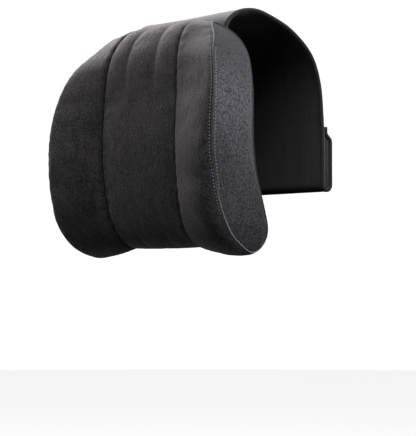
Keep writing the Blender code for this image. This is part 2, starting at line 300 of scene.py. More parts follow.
def body(t, a):
    """The cover's surface at ring positions t and columns a: -1..1 the middle, out to -2 and 2 the ends.

    point = outline blended from seam to end + its normal * lift. a may be a row, or one row for each t.
    """
    a = np.broadcast_to(np.asarray(a, float), (len(t), np.shape(a)[-1]))
    seam, seam_way = smooth_ring(SEAM_OUTLINE, t)
    end, end_way = smooth_ring(END_OUTLINE, t)
    side = np.abs(a)
    w = np.clip(side - 1, 0, 1)
    c = np.clip(side, 0, 1)
    front = (t < FRONT_SPAN)[:, None]
    share = np.clip(t / FRONT_SPAN, 0, 1)[:, None]
    blend = np.where(front, w, ease(w))[..., None]
    section = seam[:, None] * (1 - blend) + end[:, None] * blend
    normal = outward(seam_way)[:, None] * (1 - w[..., None]) + outward(end_way)[:, None] * w[..., None]
    rise = WING_EDGE_POWER * WING_CREST / (1 - WING_CREST)
    crest = (w / WING_CREST) ** rise * ((1 - w) / (1 - WING_CREST)) ** WING_EDGE_POWER
    lift = WING_BULGE * np.clip(np.sin(np.pi * share ** WING_SWELL[0]), 0, 1) ** WING_SWELL[1] * crest
    fade = ease((seam[:, 1] - RIB_FADE[0]) / (RIB_FADE[1] - RIB_FADE[0]))[:, None]
    arch = CENTRE_CROWN * (1 - c * c) + ribs(c) * (RIB_LOW + (RIB_TOP - RIB_LOW) * fade)
    lift = lift + np.clip(np.sin(np.pi * share), 0, 1) ** 0.5 * arch
    section = section + normal * lift[..., None]
    near, far = seam_x(seam[:, 1])[:, None], end_x(end[:, 1])[:, None]
    x = np.where(side < 1, side * near, near + (far - near) * w) * np.sign(a)
    return np.concatenate([x[..., None], section], 2)


print("front of the middle, of a wing", body(np.array([6.0]), [0.0, 1.7])[0, :, 1].round(3), "m")

# %% [markdown]
# ## Creases from a cloth simulation
# The cover of a stuffed pillow strains at its seams and slackens between them. To find where it creases, a
# coarse closed copy of the body is blown up as cloth: seams held, no gravity, a little more cloth than form.
# The form already has its stuffing, so only the creases are kept: the height less its own smooth average.

# %% Cloth simulation
CAGE_FRONT, CAGE_BACK = 60, 36
CAGE_MIDDLE, CAGE_WING = 24, 15
CAGE_COLUMNS = np.concatenate([np.linspace(-2, -1, CAGE_WING + 1)[:-1],
                               np.linspace(-1, 1, CAGE_MIDDLE + 1),
                               np.linspace(1, 2, CAGE_WING + 1)[1:]])
CAGE_ROWS = np.concatenate([np.linspace(0, FRONT_SPAN, CAGE_FRONT + 1)[:-1],
                            np.linspace(FRONT_SPAN, WHOLE_SPAN, CAGE_BACK + 1)[:-1]])
CAP_RINGS = np.array([0.84, 0.67, 0.5, 0.33, 0.17])
SIM_FRAMES = 20
MOST_CREASE = 0.0025
CREASE_SHARE = 0.22
CREASE_TURNS = 12


def numbered(shape, start=0):
    """Point numbers from start on, in an array of the given shape."""
    return start + np.arange(math.prod(shape)).reshape(shape)


def sleeve_faces(index):
    """Quads of a grid of point numbers whose last row joins its first."""
    after = np.roll(index, -1, axis=0)
    return np.stack([index[:, :-1], after[:, :-1], after[:, 1:], index[:, 1:]], -1).reshape(-1, 4).tolist()


def ring_faces(index):
    """Quads between rings of point numbers, one ring to a row, each closed on itself."""
    beside = np.roll(index, -1, axis=1)
    return np.stack([index[:-1], index[1:], beside[1:], beside[:-1]], -1).reshape(-1, 4).tolist()


def cage():
    """Closed coarse mesh of the body: the ring grid, then the rings and middle of each end."""
    grid = body(CAGE_ROWS, CAGE_COLUMNS)
    rows, columns = grid.shape[:2]
    index = numbered((rows, columns))
    faces = sleeve_faces(index)
    points = [grid.reshape(-1, 3)]
    start = rows * columns
    for column, side in ((0, -1), (columns - 1, 1)):
        rim = grid[:, column]
        middle = (rim.min(0) + rim.max(0)) / 2
        rings = middle[1:] + (rim[:, 1:] - middle[1:])[None] * CAP_RINGS[:, None, None]
        x = side * (end_x(rings[..., 1]) + END_DOME * (1 - CAP_RINGS[:, None] ** 2))
        points += [np.concatenate([x[..., None], rings], 2).reshape(-1, 3),
                   np.array([[side * (end_x(middle[2]) + END_DOME), middle[1], middle[2]]])]
        tip = start + len(CAP_RINGS) * rows
        ring = np.concatenate([index[None, :, column], np.arange(start, tip).reshape(-1, rows)])
        fan = [[ring[-1, i], tip, ring[-1, (i + 1) % rows]] for i in range(rows)]
        faces += [f[::-1] if side > 0 else f for f in ring_faces(ring) + fan]
        start = tip + 1
    return np.concatenate(points), faces, grid


def blown_up(points, faces, held):
    """The same points after the cloth has been blown up with the held ones pinned."""
    mesh = plain_mesh("cage", points, faces)
    made = link("cage", mesh)
    made.vertex_groups.new(name="held").add(held.tolist(), 1.0, "REPLACE")
    cloth = made.modifiers.new("cloth", "CLOTH")
    settings = cloth.settings
    settings.vertex_group_mass = "held"
    settings.use_pressure, settings.uniform_pressure_force = True, 4.0
    settings.shrink_min = -0.03
    settings.tension_stiffness, settings.compression_stiffness, settings.shear_stiffness = 25, 25, 8
    settings.bending_stiffness, settings.mass, settings.quality = 0.2, 0.2, 8
    settings.effector_weights.gravity = 0
    cloth.point_cache.frame_start, cloth.point_cache.frame_end = 1, SIM_FRAMES
    for number in range(1, SIM_FRAMES + 1):
        bpy.context.scene.frame_set(number)
    found = made.evaluated_get(bpy.context.evaluated_depsgraph_get()).data
    flat = np.zeros(len(found.vertices) * 3)
    found.vertices.foreach_get("co", flat)
    bpy.data.objects.remove(made, do_unlink=True)
    bpy.data.meshes.remove(mesh)
    bpy.context.scene.frame_set(1)
    return flat.reshape(-1, 3)


def smoothed(height, turns):
    """Each turn averages a cell with its neighbours, 1-2-1, round the rows and across the columns."""
    for _ in range(turns):
        height = (np.roll(height, 1, 0) + 2 * height + np.roll(height, -1, 0)) / 4
        wide = np.pad(height, [(0, 0), (1, 1)], mode="edge")
        height = (wide[:, :-2] + 2 * height + wide[:, 2:]) / 4
    return height


def crease_heights():
    """Crease height on the cage's grid: (move . normal) less its smooth average, nought on the seams."""
    points, faces, grid = cage()
    rows, columns = grid.shape[:2]
    index = numbered((rows, columns))
    on_seam = np.isclose(np.abs(CAGE_COLUMNS), 1) | np.isclose(np.abs(CAGE_COLUMNS), 2)
    held = np.unique(np.concatenate([index[:, on_seam].ravel(), index[[0, CAGE_FRONT]].ravel()]))
    moved = blown_up(points, faces, held)[: rows * columns].reshape(grid.shape) - grid
    wrapped = np.concatenate([grid[-1:], grid, grid[:1]])
    normal = unit(np.cross(np.gradient(wrapped, axis=0), np.gradient(wrapped, axis=1)))[1:-1]
    height = (moved * normal).sum(2)
    print("cloth moved up to", round(float(np.abs(height).max()) * 1000, 1), "mm")
    crease = CREASE_SHARE * np.clip(height - smoothed(height, CREASE_TURNS), -MOST_CREASE, MOST_CREASE)
    crease[:, on_seam] = 0
    print("creases up to", round(float(np.abs(crease).max()) * 1000, 2), "mm")
    return crease


def cubic(table, where):
    """Catmull-Rom values of the table's rows at fractional row numbers; ends are repeated."""
    i = np.floor(where).astype(int)
    f = (where - i).reshape(-1, *[1] * (table.ndim - 1))
    return smooth(*(table[np.clip(i + k, 0, len(table) - 1)] for k in (-1, 0, 1, 2)), f)


# %% Creases on the fine surface
creases = crease_heights()


def crease_at(t, a):
    """Crease height at ring positions t and columns a, where a is one row for each t."""
    whole = np.concatenate([creases, creases[:1]])
    lines = cubic(whole, np.interp(t, np.append(CAGE_ROWS, WHOLE_SPAN), np.arange(len(whole))))
    at = np.interp(a, CAGE_COLUMNS, np.arange(len(CAGE_COLUMNS)))
    i = np.floor(at).astype(int)
    last = lines.shape[1] - 1
    return smooth(*(np.take_along_axis(lines, np.clip(i + k, 0, last), 1) for k in (-1, 0, 1, 2)), at - i)


print("crease grid", creases.shape)

# %% [markdown]
# ## Sewn panels
# A cover is cut as flat panels, and at each seam the cloth turns in through a small round edge. A bevel on
# one closed body would round its corners, but it can't sink a seam. So every panel is its own grid with even
# spacing, closer at its edges, where it sinks by a quarter circle. The inner face lies one cloth in, and the
# two are joined round the rim, so each panel is a closed solid.

# %% Even spacing across and along a panel
EDGE_ROLL = 0.0011
EDGE_STEPS = np.array([0, 0.2, 0.45, 0.75, 1.1, 1.8]) * MM
CLOTH = 0.0018
END_CROWDING = 1.6


def run_along(path):
    """Distance from a path's first point to each of its points: the running sum of its steps."""
    return np.concatenate([[0], np.cumsum(np.linalg.norm(np.diff(path, axis=0), axis=1))])


def sampled(at, run, table):
    """Each column of a table of points at the given distances along its run."""
    return np.stack([np.interp(at, run, column) for column in table.T], -1)


def spaced(total, step):
    """Distances from 0 to each total, close together at both edges and about a step apart between."""
    total = np.atleast_1d(total)[:, None]
    inner = max(3, int(round(float(np.median(total)) / step)))
    middle = np.linspace(0, 1, inner + 1)[1:-1]
    lo = EDGE_STEPS[-1]
    between = lo + middle[None] * (total - 2 * lo)
    return np.concatenate([EDGE_STEPS + 0 * total, between, total - EDGE_STEPS[::-1]], 1)


def even_columns(t, a_from, a_to, step):
    """Column values a for each row t, spaced by distance on the surface."""
    q = (1 - np.cos(np.linspace(0, np.pi, 500))) / 2
    q = 1 - (1 - q) ** END_CROWDING if a_to == 2 else q
    q = q**END_CROWDING if a_from == -2 else q
    fine = a_from + (a_to - a_from) * q
    run = np.array([run_along(line) for line in body(t, fine)])
    targets = spaced(run[:, -1], step)
    return np.stack([np.interp(want, have, fine) for want, have in zip(targets, run)])


def even_rows(t_from, t_to, step):
    """Ring positions spaced by distance along the seam's outline."""
    fine = np.linspace(t_from, t_to, 3000)
    run = run_along(smooth_ring(SEAM_OUTLINE, fine)[0])
    return np.interp(spaced(run[-1], step)[0], run, fine)


print("steps from each edge", EDGE_STEPS, "m")

# %% Grid helpers
def grid_normals(grid):
    """Outward normals: rows run down the front, columns run along +X."""
    return unit(np.cross(np.gradient(grid, axis=0), np.gradient(grid, axis=1)))


def edge_distance(grid):
    """Distances along the grid from the panel's top, bottom, left and right edges, one array each."""
    found = []
    for axis, pad in ((0, [(1, 0), (0, 0)]), (1, [(0, 0), (1, 0)])):
        run = np.pad(np.cumsum(np.linalg.norm(np.diff(grid, axis=axis), axis=2), axis), pad)
        total = run.take([-1], axis)
        found += [run, total - run]
    return found


def rolled(distance):
    """Depth of the quarter round at a seam: r - sqrt(r^2 - (r - d)^2), nought past r."""
    d = np.clip(distance, 0, EDGE_ROLL)
    return EDGE_ROLL - np.sqrt(EDGE_ROLL**2 - (EDGE_ROLL - d) ** 2)


def grid_faces(rows, columns, start=0):
    """Quads of a grid as an array, turned so that they face the way of grid_normals."""
    index = numbered((rows, columns), start)
    return np.stack([index[:-1, :-1], index[1:, :-1], index[1:, 1:], index[:-1, 1:]], -1).reshape(-1, 4)


def rim_faces(rows, columns):
    """Quads that join the outer grid's rim to the inner grid's."""
    index = numbered((rows, columns))
    loop = np.concatenate([index[:-1, 0], index[-1, :-1], index[:0:-1, -1], index[0, :0:-1]])
    after = np.roll(loop, -1)
    return np.stack([after, loop, loop + rows * columns, after + rows * columns], -1)


print("quads of a 3 by 4 grid:", len(grid_faces(3, 4)), "and round its rim:", len(rim_faces(3, 4)))


# %% Mesh and frame helpers
def make_piece(name, points, faces, uv=None):
    """A smooth-shaded mesh object from arrays; uv gives two values for each point."""
    mesh = plain_mesh(name, points, [list(f) for f in faces])
    mesh.polygons.foreach_set("use_smooth", np.ones(len(mesh.polygons), bool))
    if uv is not None:
        layer = mesh.uv_layers.new(name="UVMap")
        corner = np.zeros(len(mesh.loops), np.int32)
        mesh.loops.foreach_get("vertex_index", corner)
        layer.data.foreach_set("uv", np.asarray(uv, np.float32).reshape(-1, 2)[corner].ravel())
    mesh.update()
    return link(name, mesh)


def finish_piece(piece, nodes, material):
    """Hands a finished piece to the frame: its body, the solids it stands for and its material."""
    piece.data.materials.clear()
    piece.data.materials.append(material)
    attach(piece, "root")
    if nodes:
        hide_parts(*nodes)
    print(piece.name, len(piece.data.polygons), "faces")
    return piece


def pad_piece(piece, nodes, material):
    """A stuffed piece, finished like the others."""
    finish_piece(piece, nodes, material)


# %% [markdown]
# ## Shader sums as Python
# The finishes are patterns of noise and of height, added and multiplied. Wiring each Math node by hand would
# hide the sums. So a small class wraps a socket, and a pattern reads like a formula. Numbers are worked out
# in Python, and only what changes over the surface becomes nodes.

# %% A socket with arithmetic
class Value:
    """A shader socket with arithmetic."""

    def __init__(self, shop, socket):
        self.shop, self.socket = shop, socket

    def math(self, kind, other=None):
        sockets = {0: self}
        if other is not None:
            sockets[1] = other
        return self.shop.node("ShaderNodeMath", {"operation": kind}, sockets)

    def __add__(self, other):
        return self.math("ADD", other)

    __radd__ = __add__

    def __mul__(self, other):
        return self.math("MULTIPLY", other)

    __rmul__ = __mul__

    def __sub__(self, other):
        return self.math("SUBTRACT", other)

    def __rsub__(self, other):
        return self.shop.node("ShaderNodeMath", {"operation": "SUBTRACT"}, {0: other, 1: self})

    def clamp(self):
        return self.math("MAXIMUM", 0.0).math("MINIMUM", 1.0)


# %% A material and its nodes
class Finish:
    """One material: its nodes come from node(), and sockets() sets or links its shader's sockets."""

    def __init__(self, name):
        self.material = bpy.data.materials.new(name)
        self.material.use_nodes = True
        self.tree = self.material.node_tree
        self.shader = self.tree.nodes["Principled BSDF"]

    def put(self, socket, value):
        if isinstance(value, Value):
            self.tree.links.new(value.socket, socket)
        else:
            socket.default_value = value

    def node(self, kind, settings=None, sockets=None, output=0):
        made = self.tree.nodes.new(kind)
        for key, value in (settings or {}).items():
            setattr(made, key, value)
        for key, value in (sockets or {}).items():
            self.put(made.inputs[key], value)
        return Value(self, made.outputs[output])

    def sockets(self, **values):
        for key, value in values.items():
            self.put(self.shader.inputs[key.replace("_", " ")], value)

    def place(self, scale=(1, 1, 1)):
        """Object coordinates in metres, stretched."""
        at = self.node("ShaderNodeTexCoord", output="Object")
        return self.stretched(at, scale)

    def stretched(self, at, scale):
        return self.node("ShaderNodeMapping", {}, {"Vector": at, "Scale": scale})

    def on_cloth(self):
        """The piece's own UV map, in metres."""
        return self.node("ShaderNodeUVMap", {"uv_map": "UVMap"})

    def part_of(self, vector, axis="X"):
        return self.node("ShaderNodeSeparateXYZ", {}, {0: vector}, output=axis)

    def noise(self, vector, scale, detail=4.0, roughness=0.55, distortion=0.0):
        return self.node("ShaderNodeTexNoise", {}, {
            "Vector": vector, "Scale": scale, "Detail": detail, "Roughness": roughness,
            "Distortion": distortion})

    def mix(self, share, first, second):
        return self.node("ShaderNodeMix", {"data_type": "RGBA"}, {0: share, 6: first, 7: second}, output=2)

    def bump(self, height, strength, distance, under=None):
        sockets = {"Height": height, "Strength": strength, "Distance": distance}
        if under is not None:
            sockets["Normal"] = under
        return self.node("ShaderNodeBump", {}, sockets)


# %% [markdown]
# ## Suede cloth
# The cover is microfibre suede. Its short nap lies in soft patches, darker or lighter with the way it was
# last brushed, and grey light catches it at glancing angles. Hair strands would give that nap, at the cost of
# millions of them. So the colour is a near black that two noises mottle, stretched up the pillow, a third and
# a fourth give the grain, and the shader's sheen gives the pale bloom. Painted shade darkens the cloth where
# it dips into a seam, and painted shade darkens the end panels above and below a band round one height.

# %% Suede
FIBRE_SHARE, FUZZ_SHARE = 2.1, 2.9
GRAIN_DEPTH, PATCH_DEPTH = 0.0014, 0.004
# The next two colours are painted shade: near black in the seams, and on the end panels' top and bottom.
PAINTED_SEAM_SHADE = (0.001, 0.001, 0.001, 1)
PAINTED_BAND_SHADE = (0.002, 0.002, 0.002, 1)
SHADE_BAND_WANDER = 0.05
SHADE_BAND_TOP = 0.05


def suede(name, dark, light, sheen, sheen_tint, grain=1000.0, contrast=3.2, painted_shade_band=None, seam_shade=None):
    """Nap: colour = mix(dark, light, patches * contrast + grain) * painted seam shade * painted shade band.

    seam_shade = (share left at the seam, reach) of the painted shade in the seams
    painted_shade_band = (height, reach, share left below, share left above) of the painted shade band
    """
    f = Finish(name)
    broad = f.noise(f.place((14, 14, 6)), 1.6, 3.0, 0.6, 0.4)
    small = f.noise(f.place((1, 1, 0.55)), 130.0, 5.0, 0.7, 0.25)
    fibre = f.noise(f.place((1, 1, 0.5)), grain, 3.0, 0.7)
    fuzz = f.noise(f.place(), grain * 0.55, 2.0, 0.6)
    patches = (broad + small) * 0.5
    speckle = (fibre - 0.5) * FIBRE_SHARE + (fuzz - 0.5) * FUZZ_SHARE
    tone = ((patches - 0.5) * contrast + speckle + 0.5).clamp()
    colour = f.mix(tone, (*dark, 1), (*light, 1))
    # Painted shade: towards the panel's side seams the colour falls to near black, where the cloth dips in.
    if seam_shade is not None:
        least, reach = seam_shade
        out_of_seam_shade = f.node("ShaderNodeMapRange", {"interpolation_type": "SMOOTHSTEP"}, {
            "Value": f.part_of(f.on_cloth()), "From Min": 0.0, "From Max": reach,
            "To Min": least, "To Max": 1.0})
        colour = f.mix(out_of_seam_shade, PAINTED_SEAM_SHADE, colour)
    # Painted shade: the end panels darken above and below one height, most towards the top.
    if painted_shade_band is not None:
        height, reach, below, above = painted_shade_band
        at = f.part_of(f.place(), "Z")
        away = (at + (broad - 0.5) * SHADE_BAND_WANDER - height) * (1 / reach)
        least = (at * (1 / SHADE_BAND_TOP)).clamp() * (above - below) + below
        pale_share = (away * away * -1.0).math("EXPONENT") * (1 - least) + least
        colour = f.mix(pale_share, PAINTED_BAND_SHADE, colour)
    f.sockets(
        Base_Color=colour, Roughness=((patches - 0.5) * 0.15 + 0.88).clamp(),
        Sheen_Weight=sheen, Sheen_Roughness=0.34, Sheen_Tint=(*sheen_tint, 1), Specular_IOR_Level=0.22,
        Normal=f.bump((fibre + fuzz) * 0.5, 0.90, GRAIN_DEPTH, f.bump(patches, 0.30, PATCH_DEPTH)),
    )
    return f.material


# The front panels take painted shade in their seams, and the end panels a painted shade band.
front_suede = suede("front_suede", (0.0036, 0.0033, 0.00345), (0.0358, 0.0330, 0.0345), 0.66,
                    (0.665, 0.615, 0.643), seam_shade=(0.15, 0.0065))
end_suede = suede("end_suede", (0.0203, 0.0197, 0.0232), (0.0932, 0.0902, 0.1045), 0.10, (0.67, 0.65, 0.72),
                  contrast=1.4, painted_shade_band=(0.022, 0.040, 0.60, 0.33))
print("nodes in the suede", len(front_suede.node_tree.nodes))

# %% [markdown]
# ## Middle and wing panels
# The three front panels run from the top rear seam over the front to the bottom rear seam. Each is the body's
# surface between two columns. The cloth of a real cover isn't quite smooth: it puckers a little at the seams,
# and beside the long seams it stands in a low roll. Both could be painted as bump, but they show at the edge
# of the form, so they are heights: a low wave that dies out within two centimetres, and a roll on each wing.

# %% Puckers and rolls beside a seam
PUCKER_HEIGHT = 0.00035
PUCKER_PITCH = 0.011
PUCKER_REACH = 0.010
PUCKER_SWING, PUCKER_STRETCH, PUCKER_BEAT = 1.3, 0.013, 0.041
SEAM_SWELL = 0.0016
SWELL_REACH = 0.0060
SWELL_FADE = (0.010, 0.090)
SWELL_START = 0.020


def pucker(top, left, right):
    """Height * wave * exp(-(distance / reach)^2) beside the left and right edges.

    wave = sin(2 pi top / pitch + swing * sin(top / stretch)) * sin(top / beat)
    """
    wave = np.sin(2 * np.pi * top / PUCKER_PITCH + PUCKER_SWING * np.sin(top / PUCKER_STRETCH))
    wave = wave * np.sin(top / PUCKER_BEAT)
    return sum(PUCKER_HEIGHT * wave * np.exp(-((distance / PUCKER_REACH) ** 2)) for distance in (left, right))


def seam_swell(grid, distance):
    """Roll of cloth along a seam: amount * (d / reach) * exp(1 - d / reach), fading down the pillow."""
    d = distance / SWELL_REACH
    fade = ease((grid[..., 2] - SWELL_FADE[0]) / (SWELL_FADE[1] - SWELL_FADE[0]))
    return SEAM_SWELL * d * np.exp(1 - d) * fade


print("pucker", PUCKER_HEIGHT, "m, roll", SEAM_SWELL, "m")

# %% Front panels
PANEL_STEP = 0.0026
LAST_BIT = 1e-6
TOP, BOTTOM, LEFT, RIGHT = range(4)


def sewn_panel(name, t, a, rolls=()):
    """A closed panel: outer grid + normal * (pucker + crease - edge round + rolls), inner grid below it."""
    outer = body(t, a)
    out = grid_normals(outer)
    edges = edge_distance(outer)
    height = pucker(edges[TOP], edges[LEFT], edges[RIGHT]) + crease_at(t, a)
    height -= np.max([rolled(d) for d in edges], axis=0)
    for side in rolls:
        near_ends = np.clip(np.stack([edges[TOP], edges[BOTTOM]]) / SWELL_START, 0, 1).prod(0)
        height += seam_swell(outer, edges[side]) * near_ends
    top = outer + out * height[..., None]
    under = outer - out * (EDGE_ROLL + CLOTH)
    rows, columns = outer.shape[:2]
    inner_faces = grid_faces(rows, columns, rows * columns)[:, ::-1]
    faces = np.concatenate([grid_faces(rows, columns), inner_faces, rim_faces(rows, columns)])
    uv = np.stack([np.minimum(edges[LEFT], edges[RIGHT]), edges[TOP]], -1)
    panel = make_piece(name, np.stack([top, under]), faces, np.stack([uv, uv]))
    return panel, top, edges


panel_tops = {}
front_rows = even_rows(0, FRONT_SPAN - LAST_BIT, PANEL_STEP)
for name, a_from, a_to, node, rolls in (
    ("middle_panel", -1, 1, "centre_panel", ()),
    ("left_wing", -2, -1, "left_wing_panel", (RIGHT,)),
    ("right_wing", 1, 2, "right_wing_panel", (LEFT,)),
):
    columns = even_columns(front_rows, a_from, a_to, PANEL_STEP)
    panel, *panel_tops[name] = sewn_panel(name, front_rows, columns, rolls)
    pad_piece(panel, [node], front_suede)

# %% [markdown]
# ## Back panel, ends and the foam inside
# The back is one lining panel from end to end. Each end is closed by a kidney-shaped panel, a shallow dome.
# A grid would leave steps at its curved edge, so its rows are rings: the outline shrinks to one middle point.
# The foam block is the same form, a little smaller. It can't be seen, and it keeps anything from showing
# through the seams.

# %% Back panel
BACK_STEP = 0.004
back_lining = suede("back_lining", (0.012, 0.012, 0.013), (0.024, 0.024, 0.026), 0.2, (0.6, 0.6, 0.62),
                    grain=900.0)
back_rows = even_rows(FRONT_SPAN, WHOLE_SPAN - LAST_BIT, BACK_STEP)
back_panel = sewn_panel("back", back_rows, even_columns(back_rows, -2, 2, BACK_STEP))[0]
pad_piece(back_panel, ["back_panel"], back_lining)

# %% End panels
END_SETBACK = 0.0008
END_STEP = 0.0026
END_RING_STEP = 0.0034
STITCH_GROOVE = (0.0003, 0.0035, 0.0012)


def even_ring(step):
    """Positions t at even distances round the whole end outline."""
    fine = np.linspace(0, WHOLE_SPAN, 6001)[:-1]
    line = smooth_ring(END_OUTLINE, fine)[0]
    run = run_along(np.concatenate([line, line[:1]]))
    count = int(run[-1] / step)
    return np.interp(np.arange(count) / count * run[-1], run, np.append(fine, WHOLE_SPAN))


def end_surface(t, ring_step, setback):
    """Rings of the end panel: the outline shrunk to its middle, x = end_x(z) + dome * (1 - r^2)."""
    line, way = smooth_ring(END_OUTLINE, t)
    line = line - outward(way) * setback
    middle = (line.min(0) + line.max(0)) / 2
    reach = np.linalg.norm(line - middle, axis=1)[:, None]
    count = int(reach.max() / ring_step)
    inward = np.concatenate([EDGE_STEPS + 0 * reach,
                             EDGE_STEPS[-1] + np.linspace(0, 1, count)[1:-1] * (reach - EDGE_STEPS[-1])], 1)
    r = 1 - inward / reach
    yz = middle + (line - middle)[:, None] * r[..., None]
    x = end_x(yz[..., 1]) + END_DOME * (1 - r**2)
    return np.concatenate([x[..., None], yz], 2), inward


def hump(distance, rule):
    """height * exp(-((distance - place) / width)^2), where rule is (height, place, width)."""
    return rule[0] * np.exp(-(((distance - rule[1]) / rule[2]) ** 2))


def end_panel(name, side):
    """A closed panel from the +X end's rings, mirrored for the other: depth = edge round + stitch groove."""
    outer, inward = end_surface(even_ring(END_STEP), END_RING_STEP, END_SETBACK)
    outer, inward = outer.transpose(1, 0, 2), inward.T
    top, under = outer.copy(), outer.copy()
    top[..., 0] -= rolled(inward) + hump(inward, STITCH_GROOVE)
    under[..., 0] -= EDGE_ROLL + CLOTH
    size = inward.size
    points = np.concatenate([top.reshape(-1, 3), under.reshape(-1, 3), top[-1:].mean(1), under[-1:].mean(1)])
    index = numbered(inward.shape)
    faces = ring_faces(index) + [f[::-1] for f in ring_faces(index + size)]
    for here, after in zip(index[-1].tolist(), np.roll(index[-1], -1).tolist()):
        faces += [[here, 2 * size, after], [size + after, 2 * size + 1, size + here]]
    rim, beside = index[0], np.roll(index[0], -1)
    faces += np.stack([beside, size + beside, size + rim, rim], -1).tolist()
    if side < 0:
        points[:, 0] *= -1
    else:
        faces = [f[::-1] for f in faces]
    return make_piece(name, points, faces), top * [side, 1, 1], inward


end_tops = {}
for name, side, node in (("left_end", -1, "left_end_panel"), ("right_end", 1, "right_end_panel")):
    panel, *end_tops[side] = end_panel(name, side)
    pad_piece(panel, [node], end_suede)

# %% Foam block
FOAM_CLEARANCE = 0.0006
FOAM_ROWS = 60
FOAM_COLUMNS = np.concatenate([[-1.97, -1.9, -1.75], np.linspace(-1.5, 1.5, 13), [1.75, 1.9, 1.97]])


def foam_block():
    """The closed ring of the whole body, sunk below the panels' inner faces, with a flat cap at each end."""
    grid = body(np.linspace(0, WHOLE_SPAN, FOAM_ROWS + 1)[:-1], FOAM_COLUMNS)
    wrapped = np.concatenate([grid[-1:], grid, grid[:1]])
    grid = grid - grid_normals(wrapped)[1:-1] * (EDGE_ROLL + CLOTH + FOAM_CLEARANCE)
    index = numbered(grid.shape[:2])
    return make_piece("foam", grid, sleeve_faces(index) + [index[::-1, 0].tolist(), index[:, -1].tolist()])


foam = Finish("foam")
bubbles = foam.noise(foam.place(), 700.0, 2.0)
foam.sockets(Base_Color=foam.mix(bubbles, (0.30, 0.28, 0.22, 1), (0.42, 0.39, 0.31, 1)), Roughness=0.95,
             Normal=foam.bump(bubbles, 0.6, 0.001))
pad_piece(foam_block(), ["foam_core"], foam.material)

# %% [markdown]
# ## Corded end seams
# Where the ends are sewn in, a thin cord wrapped in paler cloth stands in the seam all the way round. A curve
# with a round bevel would make it, with the same radius all along. Here it is a tube of ten sides worked out
# along the outline, because the real cord sinks in the seam at the rear and shows at the low front.

# %% Piping
CORD_STEP = 0.0014
PIPING_RADIUS = 0.0009
PIPING_SIDES = 10
PIPING_TWIST, TWIST_PITCH = 0.06, 0.006
SUNK_SHARE, SHOWN_SHARE = 0.5, 0.2


def piping_tube(name, path, radius):
    """A closed tube: ring = path + radius * (1 + twist * sin(angle + 2 pi run / pitch)) * (cos, sin)."""
    way = unit(np.roll(path, -1, 0) - np.roll(path, 1, 0))
    across = unit(np.cross(way, [1.0, 0, 0]))
    up = np.cross(across, way)
    run = run_along(path)[:, None]
    angle = np.arange(PIPING_SIDES) / PIPING_SIDES * 2 * np.pi
    r = radius[:, None] * (1 + PIPING_TWIST * np.sin(angle + 2 * np.pi * run / TWIST_PITCH))
    ring = across[:, None] * np.cos(angle)[:, None] + up[:, None] * np.sin(angle)[:, None]
    index = numbered(r.shape)
    on, beside = np.roll(index, -1, 0), np.roll(index, -1, 1)
    faces = np.stack([on, np.roll(on, -1, 1), beside, index], -1).reshape(-1, 4)
    uv = np.stack(np.broadcast_arrays(run, angle * PIPING_RADIUS), -1)
    return make_piece(name, path[:, None] + ring * r[..., None], faces, uv)


PALE_BELOW, PALE_RAMP = -0.045, 22.0
REAR_FROM, REAR_DROP = 0.015, 0.048
PAINTED_HIGHLIGHT_ABOVE, PAINTED_HIGHLIGHT_BEFORE = 0.072, -0.012
DEPTH_RAMP, FRONT_RAMP = 60.0, 300.0


def cord_cloth():
    """Grey wrapping, paler at the low front, with a painted highlight at the top front: ramps in height and in
    depth.
    """
    f = Finish("piping")
    at = f.part_of(f.place(), "Z")
    behind = f.part_of(f.place(), "Y")
    low = ((PALE_BELOW - at - ((behind + REAR_FROM) * DEPTH_RAMP).clamp() * REAR_DROP) * PALE_RAMP).clamp()
    # Painted highlight: the cloth is paler along the cord's top front, where light catches the ridge.
    high = ((at - PAINTED_HIGHLIGHT_ABOVE) * DEPTH_RAMP).clamp() * ((PAINTED_HIGHLIGHT_BEFORE - behind) * FRONT_RAMP).clamp()
    fibre = f.noise(f.place(), 1600.0, 3.0, 0.7)
    pale_share = (low * 0.6 + high * 0.3 + (fibre - 0.5) * 0.4).clamp()
    f.sockets(Base_Color=f.mix(pale_share, (0.018, 0.018, 0.019, 1), (0.30, 0.30, 0.31, 1)), Roughness=0.75,
              Sheen_Weight=0.3, Sheen_Roughness=0.4, Sheen_Tint=(0.8, 0.8, 0.82, 1), Specular_IOR_Level=0.3,
              Normal=f.bump(fibre, 0.4, 0.0005))
    return f.material


SHOWN_LOW, SHOWN_TOP, SHOWN_FRONT = (-0.03, 0.05), (0.075, 0.02), (0.01, 0.02)
piping_cloth = cord_cloth()
for name, side, node in (("left_cord", -1, "left_piping"), ("right_cord", 1, "right_piping")):
    path = body(even_ring(CORD_STEP), [2.0 * side])[:, 0]
    _, behind, up = path.T
    at_top = ease((up - SHOWN_TOP[0]) / SHOWN_TOP[1]) * ease((SHOWN_FRONT[0] - behind) / SHOWN_FRONT[1])
    shown = ease((SHOWN_LOW[0] - up) / SHOWN_LOW[1]) + at_top
    radius = PIPING_RADIUS * (SUNK_SHARE + SHOWN_SHARE * np.clip(shown, 0, 1))
    finish_piece(piping_tube(name, path, radius), [node], piping_cloth)

# %% [markdown]
# ## The hanging flap
# A broad band of the same cloth, two layers thick with a bound edge, rises from the pillow's back, goes over
# the pillow's support and hangs behind it. Its end is folded round a flat steel bar, which keeps it down.
# Simulated cloth would need something to lie on. So its middle line is drawn as a smooth curve, and the
# section across it is a flat oval with thicker edges, which waves a little.

# %% The flap's middle line
FLAP_HALF_WIDTH = 0.078
FLAP_THICKNESS = 0.0034
FLAP_LINE = np.array([
    (2, 74), (2, 97), (5.5, 108.5), (18, 118), (36, 121.5), (54, 118.5),
    (85, 106), (110, 84), (122, 55), (126, 20), (127, -20), (127, -46),
]) * MM
FLAP_STEP = 0.0022
BAR_SIZE = (0.130, 0.0060, 0.044)
GAP = 0.0003
HEM_TURN = BAR_SIZE[1] / 2 + GAP + FLAP_THICKNESS / 2
HEM_CLOSING = 0.008
HEM_TOP = BAR_SIZE[2] + GAP + 0.014


